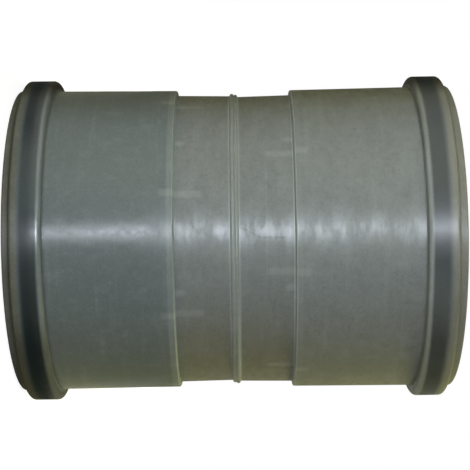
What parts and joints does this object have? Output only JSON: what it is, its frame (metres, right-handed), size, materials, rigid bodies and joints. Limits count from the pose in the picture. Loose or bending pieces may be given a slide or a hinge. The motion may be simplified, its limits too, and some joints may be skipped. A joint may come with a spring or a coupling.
{
  "type": "double socket coupling",
  "caption": "Translucent plastic flue pipe coupling: two sockets with rubber lip seals in raised chambers, joined by a butt-welded centre tube.",
  "frame": {"origin": "centre of the lower rim, which the coupling stands on", "axes": "+Z along the axis of the coupling, from the lower socket to the upper one"},
  "size_m": [0.1804, 0.1804, 0.238],
  "materials": {
    "natural_polypropylene": "satin, milky and translucent",
    "black_rubber": "matte"
  },
  "bodies": {
    "root": {"coupling_body": "natural_polypropylene", "lower_lip_seal": "black_rubber", "upper_lip_seal": "black_rubber"}
  },
  "joints": []
}
